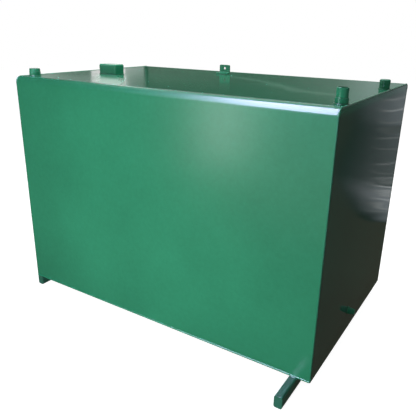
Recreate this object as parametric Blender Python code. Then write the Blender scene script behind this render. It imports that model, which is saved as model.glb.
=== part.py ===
"""A bunded steel oil tank: a folded and welded outer box on two bearers, with a smaller
inner tank standing inside it on three packers.

Metres, +Z up. X runs along the long front from left to right, Y runs away from the front
face, and Z = 0 is the ground under the bearers. Every piece is drawn about the middle of
the outer box, and one empty carries them all so that the middle of the whole object's
footprint is the origin.
"""

import math

import bmesh
import bpy
from mathutils import Matrix, Vector

# Outer box
BODY_LENGTH = 1.830
BODY_DEPTH = 1.155
BODY_HEIGHT = 1.225
SHEET = 0.003
BEND_RADIUS = 0.032
BEND_STEPS = 10
TOP_FLANGE = 0.012
FLOOR_LIP = 0.004

# Bearers, rectangular hollow section standing on its narrow side
BEARER_HEIGHT = 0.060
BEARER_WIDTH = 0.040
BEARER_WALL = 0.003
BEARER_CORNER = 0.009
BEARER_CORNER_STEPS = 4
BEARER_CAP = 0.004
RIGHT_BEARER_INSET = 0.062
RIGHT_BEARER_REACH = 0.160

# Inner tank and the channels it stands on
INNER_SHEET = 0.003
INNER_LEFT_GAP = 0.150
INNER_RIGHT_GAP = 0.080
INNER_SIDE_GAP = 0.075
INNER_TOP_GAP = 0.100
PACKER_HEIGHT = 0.050
PACKER_WIDTH = 0.060
PACKER_WALL = 0.005
PACKER_END_INSET = 0.120

# Every half socket has the corner of its open end taken off
SOCKET_CHAMFER = 0.0015

# Front left connection, a half socket with a round plug
LEFT_SOCKET_FROM_END = 0.059
LEFT_SOCKET_FROM_FRONT = 0.0855
LEFT_SOCKET_RADIUS = 0.0304
LEFT_SOCKET_HEIGHT = 0.025
LEFT_SHANK_RADIUS = 0.0240
LEFT_SHANK_LENGTH = 0.018
LEFT_HEAD_RADIUS = 0.0290
LEFT_HEAD_HEIGHT = 0.014
LEFT_HEAD_CHAMFER = 0.0015

# The two connections at the right end stand the same way in from it
RIGHT_SOCKETS_FROM_END = 0.031

# Front right connection, a half socket with an open nipple
FRONT_SOCKET_FROM_FRONT = 0.1065
FRONT_SOCKET_RADIUS = 0.0272
FRONT_SOCKET_HEIGHT = 0.025
NIPPLE_RADIUS = 0.0242
NIPPLE_BORE = 0.0205
NIPPLE_STAND = 0.038
NIPPLE_SEAT = 0.018
NIPPLE_CHAMFER = 0.0015

# Rear right connection, a smaller half socket with a round plug
REAR_SOCKET_FROM_BACK = 0.3975
REAR_SOCKET_RADIUS = 0.0252
REAR_SOCKET_HEIGHT = 0.025
REAR_SHANK_RADIUS = 0.0205
REAR_SHANK_LENGTH = 0.016
REAR_HEAD_RADIUS = 0.0257
REAR_HEAD_HEIGHT = 0.021
REAR_HEAD_CHAMFER = 0.0035

# Lifting lug, a cut length of angle with an eye in its upright leg
LUG_LEFT_OF_MIDDLE = 0.137
LUG_FROM_BACK = 0.2075
LUG_WIDTH = 0.070
LUG_HEIGHT = 0.055
LUG_FOOT = 0.052
LUG_THICKNESS = 0.009
LUG_ROOT_RADIUS = 0.007
LUG_ROOT_STEPS = 4
LUG_CORNER = 0.007
LUG_CORNER_STEPS = 4
LUG_EYE_RADIUS = 0.008
LUG_EYE_HEIGHT = 0.035

# Fill box on the roof and the neck that leads down from it
BOX_FROM_END = 0.280
BOX_FROM_FRONT = 0.4645
BOX_LENGTH = 0.130
BOX_WIDTH = 0.074
BOX_HEIGHT = 0.029
BOX_WALL = 0.004
BOX_CORNER = 0.008
BOX_CORNER_STEPS = 4
LID_HEIGHT = 0.028
LID_OVERHANG = 0.0015
LID_ROUND = 0.009
LID_ROUND_STEPS = 4
LID_TOP = 0.011
NECK_RADIUS = 0.0302
NECK_WALL = 0.0036
NECK_STAND = 0.010

# Outlet on the right end plate, measured from the front face and up from the floor plate
OUTLET_FROM_FRONT = 0.4975
OUTLET_HEIGHT = 0.120
OUTLET_RADIUS = 0.0170
OUTLET_LENGTH = 0.024
PLUG_SHANK_RADIUS = 0.0130
PLUG_SHANK_LENGTH = 0.016
PLUG_HEAD_RADIUS = 0.0145
PLUG_HEAD_LENGTH = 0.012
PLUG_HEAD_CHAMFER = 0.0015

ROUND_STEPS = 32
GAP = 0.0003
ROUND_PROFILE = 0.5
SHARP_ANGLE = math.radians(35)

PAINT = (0.022, 0.180, 0.095)
END_PAINT = (0.016, 0.060, 0.042)
RAW_STEEL = (0.160, 0.155, 0.150)

# Places worked out from the sizes above
FLOOR_BOTTOM = BEARER_HEIGHT + GAP
FLOOR_TOP = FLOOR_BOTTOM + SHEET
ROOF_TOP = FLOOR_BOTTOM + BODY_HEIGHT
ROOF_BOTTOM = ROOF_TOP - SHEET
HALF_LENGTH = BODY_LENGTH / 2
HALF_DEPTH = BODY_DEPTH / 2
SHEET_END = HALF_LENGTH - SHEET - GAP
LEFT_SOCKET_AT = (-HALF_LENGTH + LEFT_SOCKET_FROM_END, -HALF_DEPTH + LEFT_SOCKET_FROM_FRONT)
FRONT_SOCKET_AT = (HALF_LENGTH - RIGHT_SOCKETS_FROM_END, -HALF_DEPTH + FRONT_SOCKET_FROM_FRONT)
REAR_SOCKET_AT = (HALF_LENGTH - RIGHT_SOCKETS_FROM_END, HALF_DEPTH - REAR_SOCKET_FROM_BACK)
LUG_AT = (-LUG_LEFT_OF_MIDDLE, HALF_DEPTH - LUG_FROM_BACK)
BOX_AT = (-HALF_LENGTH + BOX_FROM_END, -HALF_DEPTH + BOX_FROM_FRONT)
OUTLET_Y = -HALF_DEPTH + OUTLET_FROM_FRONT
OUTLET_Z = FLOOR_TOP + OUTLET_HEIGHT
OUTLET_REACH = GAP + OUTLET_LENGTH + GAP + PLUG_HEAD_LENGTH


def clear_scene():
    for obj in list(bpy.data.objects):
        bpy.data.objects.remove(obj, do_unlink=True)


def make_material(name, colour, roughness, metallic):
    material = bpy.data.materials.new(name)
    material.use_nodes = True
    shader = material.node_tree.nodes["Principled BSDF"]
    shader.inputs["Base Color"].default_value = (*colour, 1.0)
    shader.inputs["Roughness"].default_value = roughness
    shader.inputs["Metallic"].default_value = metallic
    return material


def add_piece(name, bm, material, carrier):
    bmesh.ops.recalc_face_normals(bm, faces=bm.faces)
    mesh = bpy.data.meshes.new(name)
    bm.to_mesh(mesh)
    bm.free()
    mesh.shade_smooth()
    mesh.set_sharp_from_angle(angle=SHARP_ANGLE)
    mesh.materials.append(material)
    piece = bpy.data.objects.new(name, mesh)
    piece.parent = carrier
    bpy.context.collection.objects.link(piece)
    return piece


def arc(centre, radius, start, end, steps):
    """Points of a circular arc, both ends included, with angles in degrees."""
    points = []
    for i in range(steps + 1):
        angle = math.radians(start + (end - start) * i / steps)
        points.append((centre[0] + radius * math.cos(angle), centre[1] + radius * math.sin(angle)))
    return points


def circle(centre, radius, steps=ROUND_STEPS):
    return arc(centre, radius, 0, 360, steps)[:-1]


def rectangle(low, high):
    return [low, (high[0], low[1]), high, (low[0], high[1])]


def rounded_rectangle(low, high, radius, steps):
    (x0, y0), (x1, y1) = low, high
    return (
        arc((x1 - radius, y1 - radius), radius, 0, 90, steps)
        + arc((x0 + radius, y1 - radius), radius, 90, 180, steps)
        + arc((x0 + radius, y0 + radius), radius, 180, 270, steps)
        + arc((x1 - radius, y0 + radius), radius, 270, 360, steps)
    )


def extrude_outline(loops, across, up, along, start, length):
    """A solid of an outline, less any holes: loops[0] is the outline and the rest are
    holes, drawn on the axes across and up and extruded by length along the third."""
    bm = bmesh.new()
    edges = []
    for loop in loops:
        verts = [bm.verts.new(across * u + up * v + along * start) for u, v in loop]
        edges += [bm.edges.new((verts[i - 1], verts[i])) for i in range(len(verts))]
    bmesh.ops.triangle_fill(bm, edges=edges, use_beauty=True, use_dissolve=False)
    swept = bmesh.ops.extrude_face_region(bm, geom=bm.faces[:])["geom"]
    moved = [item for item in swept if isinstance(item, bmesh.types.BMVert)]
    bmesh.ops.translate(bm, verts=moved, vec=along * length)
    return bm


AXIS_X, AXIS_Y, AXIS_Z = Vector((1, 0, 0)), Vector((0, 1, 0)), Vector((0, 0, 1))


def extrude_along_x(loops, start, length):
    return extrude_outline(loops, AXIS_Y, AXIS_Z, AXIS_X, start, length)


def extrude_along_y(loops, start, length):
    return extrude_outline(loops, AXIS_X, AXIS_Z, AXIS_Y, start, length)


def extrude_along_z(loops, start, length):
    return extrude_outline(loops, AXIS_X, AXIS_Y, AXIS_Z, start, length)


def turn_profile(profile, place):
    """A turned solid of a closed profile of (radius, height) points about Z, set at place."""
    bm = bmesh.new()
    verts = [bm.verts.new((radius, 0, height)) for radius, height in profile]
    edges = [bm.edges.new((verts[i - 1], verts[i])) for i in range(len(verts))]
    bmesh.ops.spin(
        bm, geom=verts + edges, cent=(0, 0, 0), axis=(0, 0, 1),
        angle=2 * math.pi, steps=ROUND_STEPS, use_merge=True,
    )
    bmesh.ops.remove_doubles(bm, verts=bm.verts, dist=GAP / 10)
    bmesh.ops.dissolve_degenerate(bm, edges=bm.edges, dist=GAP / 10)
    bmesh.ops.transform(bm, matrix=place, verts=bm.verts)
    return bm


def roof_place(at, height=0.0):
    """Where a fitting stands on the roof sheet, with its weld gap under it."""
    return Matrix.Translation((at[0], at[1], ROOF_TOP + GAP + height))


def ring_profile(outer, bore, bottom, top):
    return [(bore, bottom), (outer, bottom), (outer, top), (bore, top)]


def chamfered_ring_profile(outer, bore, bottom, top, chamfer):
    """A ring with its outer corner at the top taken off."""
    return [(bore, bottom), (outer, bottom), (outer, top - chamfer), (outer - chamfer, top), (bore, top)]


def plug_profile(shank_radius, shank_length, head_radius, head_height, chamfer):
    """A round plug: its head stands on Z = 0 and its shank hangs below."""
    return [
        (0, -shank_length),
        (shank_radius, -shank_length),
        (shank_radius, 0),
        (head_radius, 0),
        (head_radius, head_height - chamfer),
        (head_radius - chamfer, head_height),
        (0, head_height),
    ]


def bent_sheet_section(side):
    """The section of a side sheet that turns in at the top; side is -1 front, 1 back."""
    centre = (HALF_DEPTH - BEND_RADIUS, ROOF_TOP - BEND_RADIUS)
    outer = arc(centre, BEND_RADIUS, 0, 90, BEND_STEPS)
    inner = arc(centre, BEND_RADIUS - SHEET, 90, 0, BEND_STEPS)
    flange_end = centre[0] - TOP_FLANGE
    bottom = FLOOR_TOP + GAP
    points = [(HALF_DEPTH - SHEET, bottom), (HALF_DEPTH, bottom)]
    points += outer
    points += [(flange_end, ROOF_TOP), (flange_end, ROOF_BOTTOM)]
    points += inner
    return [(side * y, z) for y, z in points]


def end_plate_outline():
    """The closed section of the outer box, round at its two top corners."""
    front = arc((BEND_RADIUS - HALF_DEPTH, ROOF_TOP - BEND_RADIUS), BEND_RADIUS, 90, 180, BEND_STEPS)
    back = arc((HALF_DEPTH - BEND_RADIUS, ROOF_TOP - BEND_RADIUS), BEND_RADIUS, 0, 90, BEND_STEPS)
    return back + front + [(-HALF_DEPTH, FLOOR_BOTTOM), (HALF_DEPTH, FLOOR_BOTTOM)]


def build_outer_box(paint, end_paint, carrier):
    for name, side in (("front_sheet", -1), ("back_sheet", 1)):
        bm = extrude_along_x([bent_sheet_section(side)], -SHEET_END, 2 * SHEET_END)
        add_piece(name, bm, paint, carrier)

    roof_half = HALF_DEPTH - BEND_RADIUS - TOP_FLANGE - GAP
    holes = [
        rectangle((-SHEET_END, -roof_half), (SHEET_END, roof_half)),
        circle(LEFT_SOCKET_AT, LEFT_SHANK_RADIUS + GAP),
        circle(FRONT_SOCKET_AT, NIPPLE_RADIUS + GAP),
        circle(REAR_SOCKET_AT, REAR_SHANK_RADIUS + GAP),
        circle(BOX_AT, NECK_RADIUS + GAP),
    ]
    add_piece("roof_sheet", extrude_along_z(holes, ROOF_BOTTOM, SHEET), paint, carrier)

    floor = rectangle((-SHEET_END, -HALF_DEPTH - FLOOR_LIP), (SHEET_END, HALF_DEPTH + FLOOR_LIP))
    add_piece("floor_plate", extrude_along_z([floor], FLOOR_BOTTOM, SHEET), paint, carrier)

    outline = end_plate_outline()
    outlet_hole = circle((OUTLET_Y, OUTLET_Z), PLUG_SHANK_RADIUS + GAP)
    left = extrude_along_x([outline], -HALF_LENGTH, SHEET)
    right = extrude_along_x([outline, outlet_hole], HALF_LENGTH - SHEET, SHEET)
    add_piece("left_end_plate", left, end_paint, carrier)
    add_piece("right_end_plate", right, end_paint, carrier)


def build_bearer(name, x_low, y_low, y_high, paint, carrier):
    """One hollow bearer along Y, with a flat cap welded on each end."""
    outer = rounded_rectangle(
        (x_low, 0), (x_low + BEARER_WIDTH, BEARER_HEIGHT), BEARER_CORNER, BEARER_CORNER_STEPS)
    inner = rounded_rectangle(
        (x_low + BEARER_WALL, BEARER_WALL),
        (x_low + BEARER_WIDTH - BEARER_WALL, BEARER_HEIGHT - BEARER_WALL),
        BEARER_CORNER - BEARER_WALL, BEARER_CORNER_STEPS)
    tube_start = y_low + BEARER_CAP + GAP
    tube_length = y_high - BEARER_CAP - GAP - tube_start
    add_piece(name, extrude_along_y([outer, inner], tube_start, tube_length), paint, carrier)
    for end, start in (("front", y_low), ("rear", y_high - BEARER_CAP)):
        cap = extrude_along_y([outer], start, BEARER_CAP)
        add_piece(f"{name}_{end}_cap", cap, paint, carrier)


def build_bearers(paint, carrier):
    right_low = HALF_LENGTH - RIGHT_BEARER_INSET - BEARER_WIDTH
    build_bearer("left_bearer", -HALF_LENGTH, -HALF_DEPTH, HALF_DEPTH, paint, carrier)
    build_bearer("right_bearer", right_low, -HALF_DEPTH - RIGHT_BEARER_REACH, HALF_DEPTH,
                 paint, carrier)


def build_inner_tank(steel, carrier):
    """Six plates of the inner tank, standing on three channels laid front to back."""
    x_low = -HALF_LENGTH + SHEET + INNER_LEFT_GAP
    x_high = HALF_LENGTH - SHEET - INNER_RIGHT_GAP
    y_high = HALF_DEPTH - SHEET - INNER_SIDE_GAP
    z_low = FLOOR_TOP + GAP + PACKER_HEIGHT + GAP
    z_high = ROOF_BOTTOM - INNER_TOP_GAP
    plate = rectangle((x_low, -y_high), (x_high, y_high))

    floor = extrude_along_z([plate], z_low, INNER_SHEET)
    add_piece("inner_floor", floor, steel, carrier)
    mouth = circle(BOX_AT, NECK_RADIUS - NECK_WALL)
    top = extrude_along_z([plate, mouth], z_high - INNER_SHEET, INNER_SHEET)
    add_piece("inner_top", top, steel, carrier)

    wall_low = z_low + INNER_SHEET + GAP
    wall_high = z_high - INNER_SHEET - GAP
    end_wall = rectangle((-y_high, wall_low), (y_high, wall_high))
    long_wall = rectangle((x_low + INNER_SHEET + GAP, wall_low),
                          (x_high - INNER_SHEET - GAP, wall_high))
    for name, start in (("inner_left_wall", x_low), ("inner_right_wall", x_high - INNER_SHEET)):
        add_piece(name, extrude_along_x([end_wall], start, INNER_SHEET), steel, carrier)
    for name, start in (("inner_front_wall", -y_high), ("inner_back_wall", y_high - INNER_SHEET)):
        add_piece(name, extrude_along_y([long_wall], start, INNER_SHEET), steel, carrier)

    first = x_low + PACKER_END_INSET
    last = x_high - PACKER_END_INSET
    for name, middle in (("left_packer", first), ("middle_packer", (first + last) / 2),
                         ("right_packer", last)):
        channel = channel_section(middle, FLOOR_TOP + GAP)
        add_piece(name, extrude_along_y([channel], -y_high, 2 * y_high), steel, carrier)

    neck_low = z_high + GAP
    neck_top = ROOF_TOP + NECK_STAND
    neck = ring_profile(NECK_RADIUS, NECK_RADIUS - NECK_WALL, neck_low, neck_top)
    add_piece("fill_neck", turn_profile(neck, Matrix.Translation((*BOX_AT, 0))), steel, carrier)


def channel_section(middle, bottom):
    """A channel standing on the edges of its two legs, its web on top."""
    half = PACKER_WIDTH / 2
    top = bottom + PACKER_HEIGHT
    return [
        (middle - half, bottom),
        (middle - half + PACKER_WALL, bottom),
        (middle - half + PACKER_WALL, top - PACKER_WALL),
        (middle + half - PACKER_WALL, top - PACKER_WALL),
        (middle + half - PACKER_WALL, bottom),
        (middle + half, bottom),
        (middle + half, top),
        (middle - half, top),
    ]


def build_half_socket(name, at, radius, bore, height, paint, carrier):
    socket = chamfered_ring_profile(radius, bore, 0, height, SOCKET_CHAMFER)
    add_piece(name, turn_profile(socket, roof_place(at)), paint, carrier)


def build_left_connection(paint, carrier):
    build_half_socket("front_left_socket", LEFT_SOCKET_AT, LEFT_SOCKET_RADIUS,
                      LEFT_SHANK_RADIUS + GAP, LEFT_SOCKET_HEIGHT, paint, carrier)
    plug = plug_profile(LEFT_SHANK_RADIUS, LEFT_SHANK_LENGTH, LEFT_HEAD_RADIUS,
                        LEFT_HEAD_HEIGHT, LEFT_HEAD_CHAMFER)
    seat = roof_place(LEFT_SOCKET_AT, LEFT_SOCKET_HEIGHT + GAP)
    add_piece("front_left_plug", turn_profile(plug, seat), paint, carrier)


def build_right_connections(paint, carrier):
    build_half_socket("front_right_socket", FRONT_SOCKET_AT, FRONT_SOCKET_RADIUS,
                      NIPPLE_RADIUS + GAP, FRONT_SOCKET_HEIGHT, paint, carrier)
    nipple = chamfered_ring_profile(NIPPLE_RADIUS, NIPPLE_BORE, FRONT_SOCKET_HEIGHT - NIPPLE_SEAT,
                                    FRONT_SOCKET_HEIGHT + NIPPLE_STAND, NIPPLE_CHAMFER)
    add_piece("front_right_nipple", turn_profile(nipple, roof_place(FRONT_SOCKET_AT)), paint, carrier)

    build_half_socket("rear_right_socket", REAR_SOCKET_AT, REAR_SOCKET_RADIUS,
                      REAR_SHANK_RADIUS + GAP, REAR_SOCKET_HEIGHT, paint, carrier)
    plug = plug_profile(REAR_SHANK_RADIUS, REAR_SHANK_LENGTH, REAR_HEAD_RADIUS,
                        REAR_HEAD_HEIGHT, REAR_HEAD_CHAMFER)
    seat = roof_place(REAR_SOCKET_AT, REAR_SOCKET_HEIGHT + GAP)
    add_piece("rear_right_plug", turn_profile(plug, seat), paint, carrier)


def lug_section():
    """The angle's section in Y and Z, its foot pointing to the front."""
    back = LUG_AT[1] + LUG_THICKNESS / 2
    face = back - LUG_THICKNESS
    toe = back - LUG_FOOT
    bottom = ROOF_TOP + GAP
    foot_top = bottom + LUG_THICKNESS
    root = arc((face - LUG_ROOT_RADIUS, foot_top + LUG_ROOT_RADIUS), LUG_ROOT_RADIUS,
               0, -90, LUG_ROOT_STEPS)
    return [(back, bottom), (back, bottom + LUG_HEIGHT), (face, bottom + LUG_HEIGHT)] + root + [
        (toe, foot_top), (toe, bottom)]


def build_lifting_lug(paint, carrier):
    bm = extrude_along_x([lug_section()], LUG_AT[0] - LUG_WIDTH / 2, LUG_WIDTH)
    top = ROOF_TOP + GAP + LUG_HEIGHT
    corners = [edge for edge in bm.edges
               if all(abs(vert.co.z - top) < GAP for vert in edge.verts)
               and abs(edge.verts[0].co.x - edge.verts[1].co.x) < GAP]
    bmesh.ops.bevel(bm, geom=corners, offset=LUG_CORNER, segments=LUG_CORNER_STEPS,
                    profile=ROUND_PROFILE, affect="EDGES")
    lug = add_piece("lifting_lug", bm, paint, carrier)

    eye = circle((LUG_AT[0], ROOF_TOP + GAP + LUG_EYE_HEIGHT), LUG_EYE_RADIUS)
    drill = extrude_along_y([eye], LUG_AT[1] - LUG_THICKNESS, 2 * LUG_THICKNESS)
    cutter = add_piece("lug_eye_cutter", drill, paint, carrier)
    cutter.hide_render = True
    cutter.display_type = "WIRE"
    cut = lug.modifiers.new("eye", "BOOLEAN")
    cut.operation = "DIFFERENCE"
    cut.object = cutter


def build_fill_box(paint, carrier):
    """A shallow frame round the neck, and the lid that drops over it."""
    half = (BOX_LENGTH / 2, BOX_WIDTH / 2)
    low = (BOX_AT[0] - half[0], BOX_AT[1] - half[1])
    high = (BOX_AT[0] + half[0], BOX_AT[1] + half[1])
    outer = rounded_rectangle(low, high, BOX_CORNER, BOX_CORNER_STEPS)
    inner = rounded_rectangle((low[0] + BOX_WALL, low[1] + BOX_WALL),
                              (high[0] - BOX_WALL, high[1] - BOX_WALL),
                              BOX_CORNER - BOX_WALL, BOX_CORNER_STEPS)
    frame = extrude_along_z([outer, inner], ROOF_TOP + GAP, BOX_HEIGHT)
    add_piece("fill_box", frame, paint, carrier)

    lid_bottom = ROOF_TOP + GAP + BOX_HEIGHT + GAP
    edge = rounded_rectangle((low[0] - LID_OVERHANG, low[1] - LID_OVERHANG),
                             (high[0] + LID_OVERHANG, high[1] + LID_OVERHANG),
                             BOX_CORNER + LID_OVERHANG, BOX_CORNER_STEPS)
    lid = extrude_along_z([edge, inner], lid_bottom, LID_HEIGHT - LID_TOP)
    bmesh.ops.delete(lid, geom=[f for f in lid.faces if f.calc_center_median().z
                                > lid_bottom + LID_HEIGHT - LID_TOP - GAP], context="FACES")
    close_lid(lid, lid_bottom)
    add_piece("fill_box_lid", lid, paint, carrier)


def close_lid(bm, lid_bottom):
    """Fill the lid's top over its inner hollow and draw it up to a rounded crown."""
    rim = lid_bottom + LID_HEIGHT - LID_TOP
    middle = Vector((*BOX_AT, rim))
    open_edges = [edge for edge in bm.edges if edge.is_boundary]
    reach = BOX_LENGTH / 2 - BOX_WALL + GAP
    depth = BOX_WIDTH / 2 - BOX_WALL + GAP
    inner = [edge for edge in open_edges if all(
        abs(vert.co.x - middle.x) < reach and abs(vert.co.y - middle.y) < depth
        for vert in edge.verts)]
    outer = [edge for edge in open_edges if edge not in inner]
    bmesh.ops.edgeloop_fill(bm, edges=inner)
    top = bmesh.ops.edgeloop_fill(bm, edges=outer)["faces"]
    raised = bmesh.ops.extrude_face_region(bm, geom=top)["geom"]
    verts = [item for item in raised if isinstance(item, bmesh.types.BMVert)]
    bmesh.ops.translate(bm, verts=verts, vec=(0, 0, LID_TOP))
    bmesh.ops.delete(bm, geom=top, context="FACES_ONLY")
    crown = [item for item in raised if isinstance(item, bmesh.types.BMFace)]
    bmesh.ops.bevel(bm, geom=list(crown[0].edges), offset=LID_ROUND, segments=LID_ROUND_STEPS,
                    profile=ROUND_PROFILE, affect="EDGES")


def build_side_outlet(paint, carrier):
    """A short socket on the right end plate with a round plug in it, both pointing out."""
    face = Matrix.Translation((HALF_LENGTH + GAP, OUTLET_Y, OUTLET_Z))
    place = face @ Matrix.Rotation(math.pi / 2, 4, "Y")
    bore = PLUG_SHANK_RADIUS + GAP
    socket = chamfered_ring_profile(OUTLET_RADIUS, bore, 0, OUTLET_LENGTH, SOCKET_CHAMFER)
    add_piece("side_outlet_socket", turn_profile(socket, place), paint, carrier)
    plug = plug_profile(PLUG_SHANK_RADIUS, PLUG_SHANK_LENGTH, PLUG_HEAD_RADIUS,
                        PLUG_HEAD_LENGTH, PLUG_HEAD_CHAMFER)
    seat = place @ Matrix.Translation((0, 0, OUTLET_LENGTH + GAP))
    add_piece("side_outlet_plug", turn_profile(plug, seat), paint, carrier)


def build_tank():
    clear_scene()
    paint = make_material("green_paint", PAINT, 0.25, 0.0)
    end_paint = make_material("end_plate_paint", END_PAINT, 0.25, 0.0)
    steel = make_material("raw_steel", RAW_STEEL, 0.55, 0.9)

    carrier = bpy.data.objects.new("tank_origin", None)
    carrier.location = (-OUTLET_REACH / 2, (RIGHT_BEARER_REACH - FLOOR_LIP) / 2, 0)
    bpy.context.collection.objects.link(carrier)

    build_outer_box(paint, end_paint, carrier)
    build_bearers(paint, carrier)
    build_inner_tank(steel, carrier)
    build_left_connection(paint, carrier)
    build_right_connections(paint, carrier)
    build_lifting_lug(paint, carrier)
    build_fill_box(paint, carrier)
    build_side_outlet(paint, carrier)


build_tank()
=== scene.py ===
import math

import bpy
from mathutils import Matrix, Vector


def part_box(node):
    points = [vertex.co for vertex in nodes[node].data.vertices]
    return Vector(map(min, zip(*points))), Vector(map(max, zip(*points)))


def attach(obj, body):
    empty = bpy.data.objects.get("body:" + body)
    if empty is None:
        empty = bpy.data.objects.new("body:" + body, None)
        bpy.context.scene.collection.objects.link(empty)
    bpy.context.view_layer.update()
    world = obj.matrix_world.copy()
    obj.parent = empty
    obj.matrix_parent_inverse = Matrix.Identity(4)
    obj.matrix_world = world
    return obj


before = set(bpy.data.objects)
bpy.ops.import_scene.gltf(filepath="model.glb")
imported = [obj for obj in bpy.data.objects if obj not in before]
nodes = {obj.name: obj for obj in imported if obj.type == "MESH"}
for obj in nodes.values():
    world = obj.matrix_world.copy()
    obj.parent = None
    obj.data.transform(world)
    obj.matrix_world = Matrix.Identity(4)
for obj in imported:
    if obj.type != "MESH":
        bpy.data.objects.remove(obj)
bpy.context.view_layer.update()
body = "root"  # fixed plant, so every piece added here rides on the one body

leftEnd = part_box("left_end_plate")
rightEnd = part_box("right_end_plate")
bodyLow = Vector(leftEnd[0])
bodyHigh = Vector(rightEnd[1])
bodySize = bodyHigh - bodyLow
bodyMiddle = (bodyLow + bodyHigh) / 2
roofTop = bodyHigh.z

sheetSpec = {
    "sheet": 0.003,
    "bend": 0.032,    # outside radius of the two long top corners
    "flange": 0.012,  # flat of the turned-in sheet before the roof sheet begins
}


class Wire:  # one socket of a node tree; arithmetic on it adds Math nodes
    def __init__(self, graph, socket):
        self.graph = graph
        self.socket = socket

    def calculate(self, operation, *values):
        return self.graph.add("ShaderNodeMath", {"operation": operation}, dict(enumerate(values)))

    def sine(self):
        return self.calculate("SINE", self)

    def size(self):  # without its sign
        return self.calculate("ABSOLUTE", self)

    def __add__(self, other):
        return self.calculate("ADD", self, other)

    def __radd__(self, other):
        return self.calculate("ADD", other, self)

    def __sub__(self, other):
        return self.calculate("SUBTRACT", self, other)

    def __rsub__(self, other):
        return self.calculate("SUBTRACT", other, self)

    def __mul__(self, other):
        return self.calculate("MULTIPLY", self, other)

    def __rmul__(self, other):
        return self.calculate("MULTIPLY", other, self)

    def __truediv__(self, other):
        return self.calculate("DIVIDE", self, other)


class Graph:  # a node tree, with one method that adds any node to it
    def __init__(self, tree):
        self.tree = tree

    def add(self, kind, settings=None, inputs=None, output=0):
        node = self.tree.nodes.new(kind)
        for name, value in (settings or {}).items():
            setattr(node, name, value)
        for key, value in (inputs or {}).items():
            if isinstance(value, Wire):
                self.tree.links.new(value.socket, node.inputs[key])
            else:
                node.inputs[key].default_value = value
        return Wire(self, node.outputs[output])

    def feed(self, value, node, name):
        self.tree.links.new(value.socket, node.inputs[name])

    def parts(self, vector):  # its X, Y and Z
        first = self.add("ShaderNodeSeparateXYZ", None, {"Vector": vector})
        return [Wire(self, socket) for socket in first.socket.node.outputs]

    def noise(self, vector, scale, detail=2.0, roughness=0.5):
        return self.add("ShaderNodeTexNoise", None, {
            "Vector": vector, "Scale": scale, "Detail": detail, "Roughness": roughness})

    def stretch(self, vector, scale):
        return self.add("ShaderNodeMapping", None, {"Vector": vector, "Scale": scale})

    def ramp(self, value, low, high):  # 0 below low and 1 above high
        return self.add("ShaderNodeMapRange", None, {
            "Value": value, "From Min": low, "From Max": high})

    def mixColour(self, amount, first, second):
        settings = {"data_type": "RGBA"}
        return self.add("ShaderNodeMix", settings, {0: amount, 6: first, 7: second}, 2)

    def bump(self, height, depth, normal=None):
        inputs = {"Height": height, "Distance": depth, "Strength": 1.0}
        if normal:
            inputs["Normal"] = normal
        return self.add("ShaderNodeBump", None, inputs)


# Camera

cameraSpec = {
    "lens": 42.16,                       # millimetres
    "sensor": 36,
    "clipStart": 0.05,
    "yaw": 32.27,                        # degrees round to the right of the front face
    "pitch": 20.10,                      # degrees below level
    "roll": 1.06,
    "place": (0.8030, -1.2796, 0.8107),  # from the middle of the box's foot, in box lengths
}


def addCamera(spec):
    data = bpy.data.cameras.new("camera")
    data.lens = spec["lens"]
    data.sensor_width = spec["sensor"]
    data.clip_start = spec["clipStart"]
    camera = bpy.data.objects.new("camera", data)
    bpy.context.scene.collection.objects.link(camera)
    yaw, pitch, roll = (math.radians(spec[key]) for key in ("yaw", "pitch", "roll"))
    foot = Vector((bodyMiddle.x, bodyMiddle.y, bodyLow.z))
    camera.location = foot + Vector(spec["place"]) * bodySize.x
    turn = Matrix.Rotation(yaw, 4, "Z") @ Matrix.Rotation(math.pi / 2 - pitch, 4, "X")
    camera.rotation_euler = (turn @ Matrix.Rotation(roll, 4, "Z")).to_euler()
    bpy.context.scene.camera = camera
    print("camera placed")


addCamera(cameraSpec)


# Floor, world and lamps

stageSpec = {
    "floorSize": 30.0,
    "floorColour": (0.35, 0.35, 0.35, 1),
    "floorRough": 0.9,
    "floorWhite": 0.95,    # added where the floor is looked at, so that it ends in white
    "worldLevel": 0.28,    # the light that reaches dull surfaces
    "backgroundLevel": 1.0,
}

lampSpecs = [  # angle is round to the left from straight in front, and rise above level
    {"name": "keyLamp", "angle": 2, "rise": -3, "far": 2.5, "size": (1.5, 1.5), "watts": 57},
    {"name": "backLamp", "angle": 145, "rise": -5, "far": 3.6, "size": (2.6, 1.3), "watts": 75},
    {"name": "topLamp", "angle": 150, "rise": 78, "far": 4.5, "size": (2.6, 2.0), "watts": 150},
]

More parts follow.
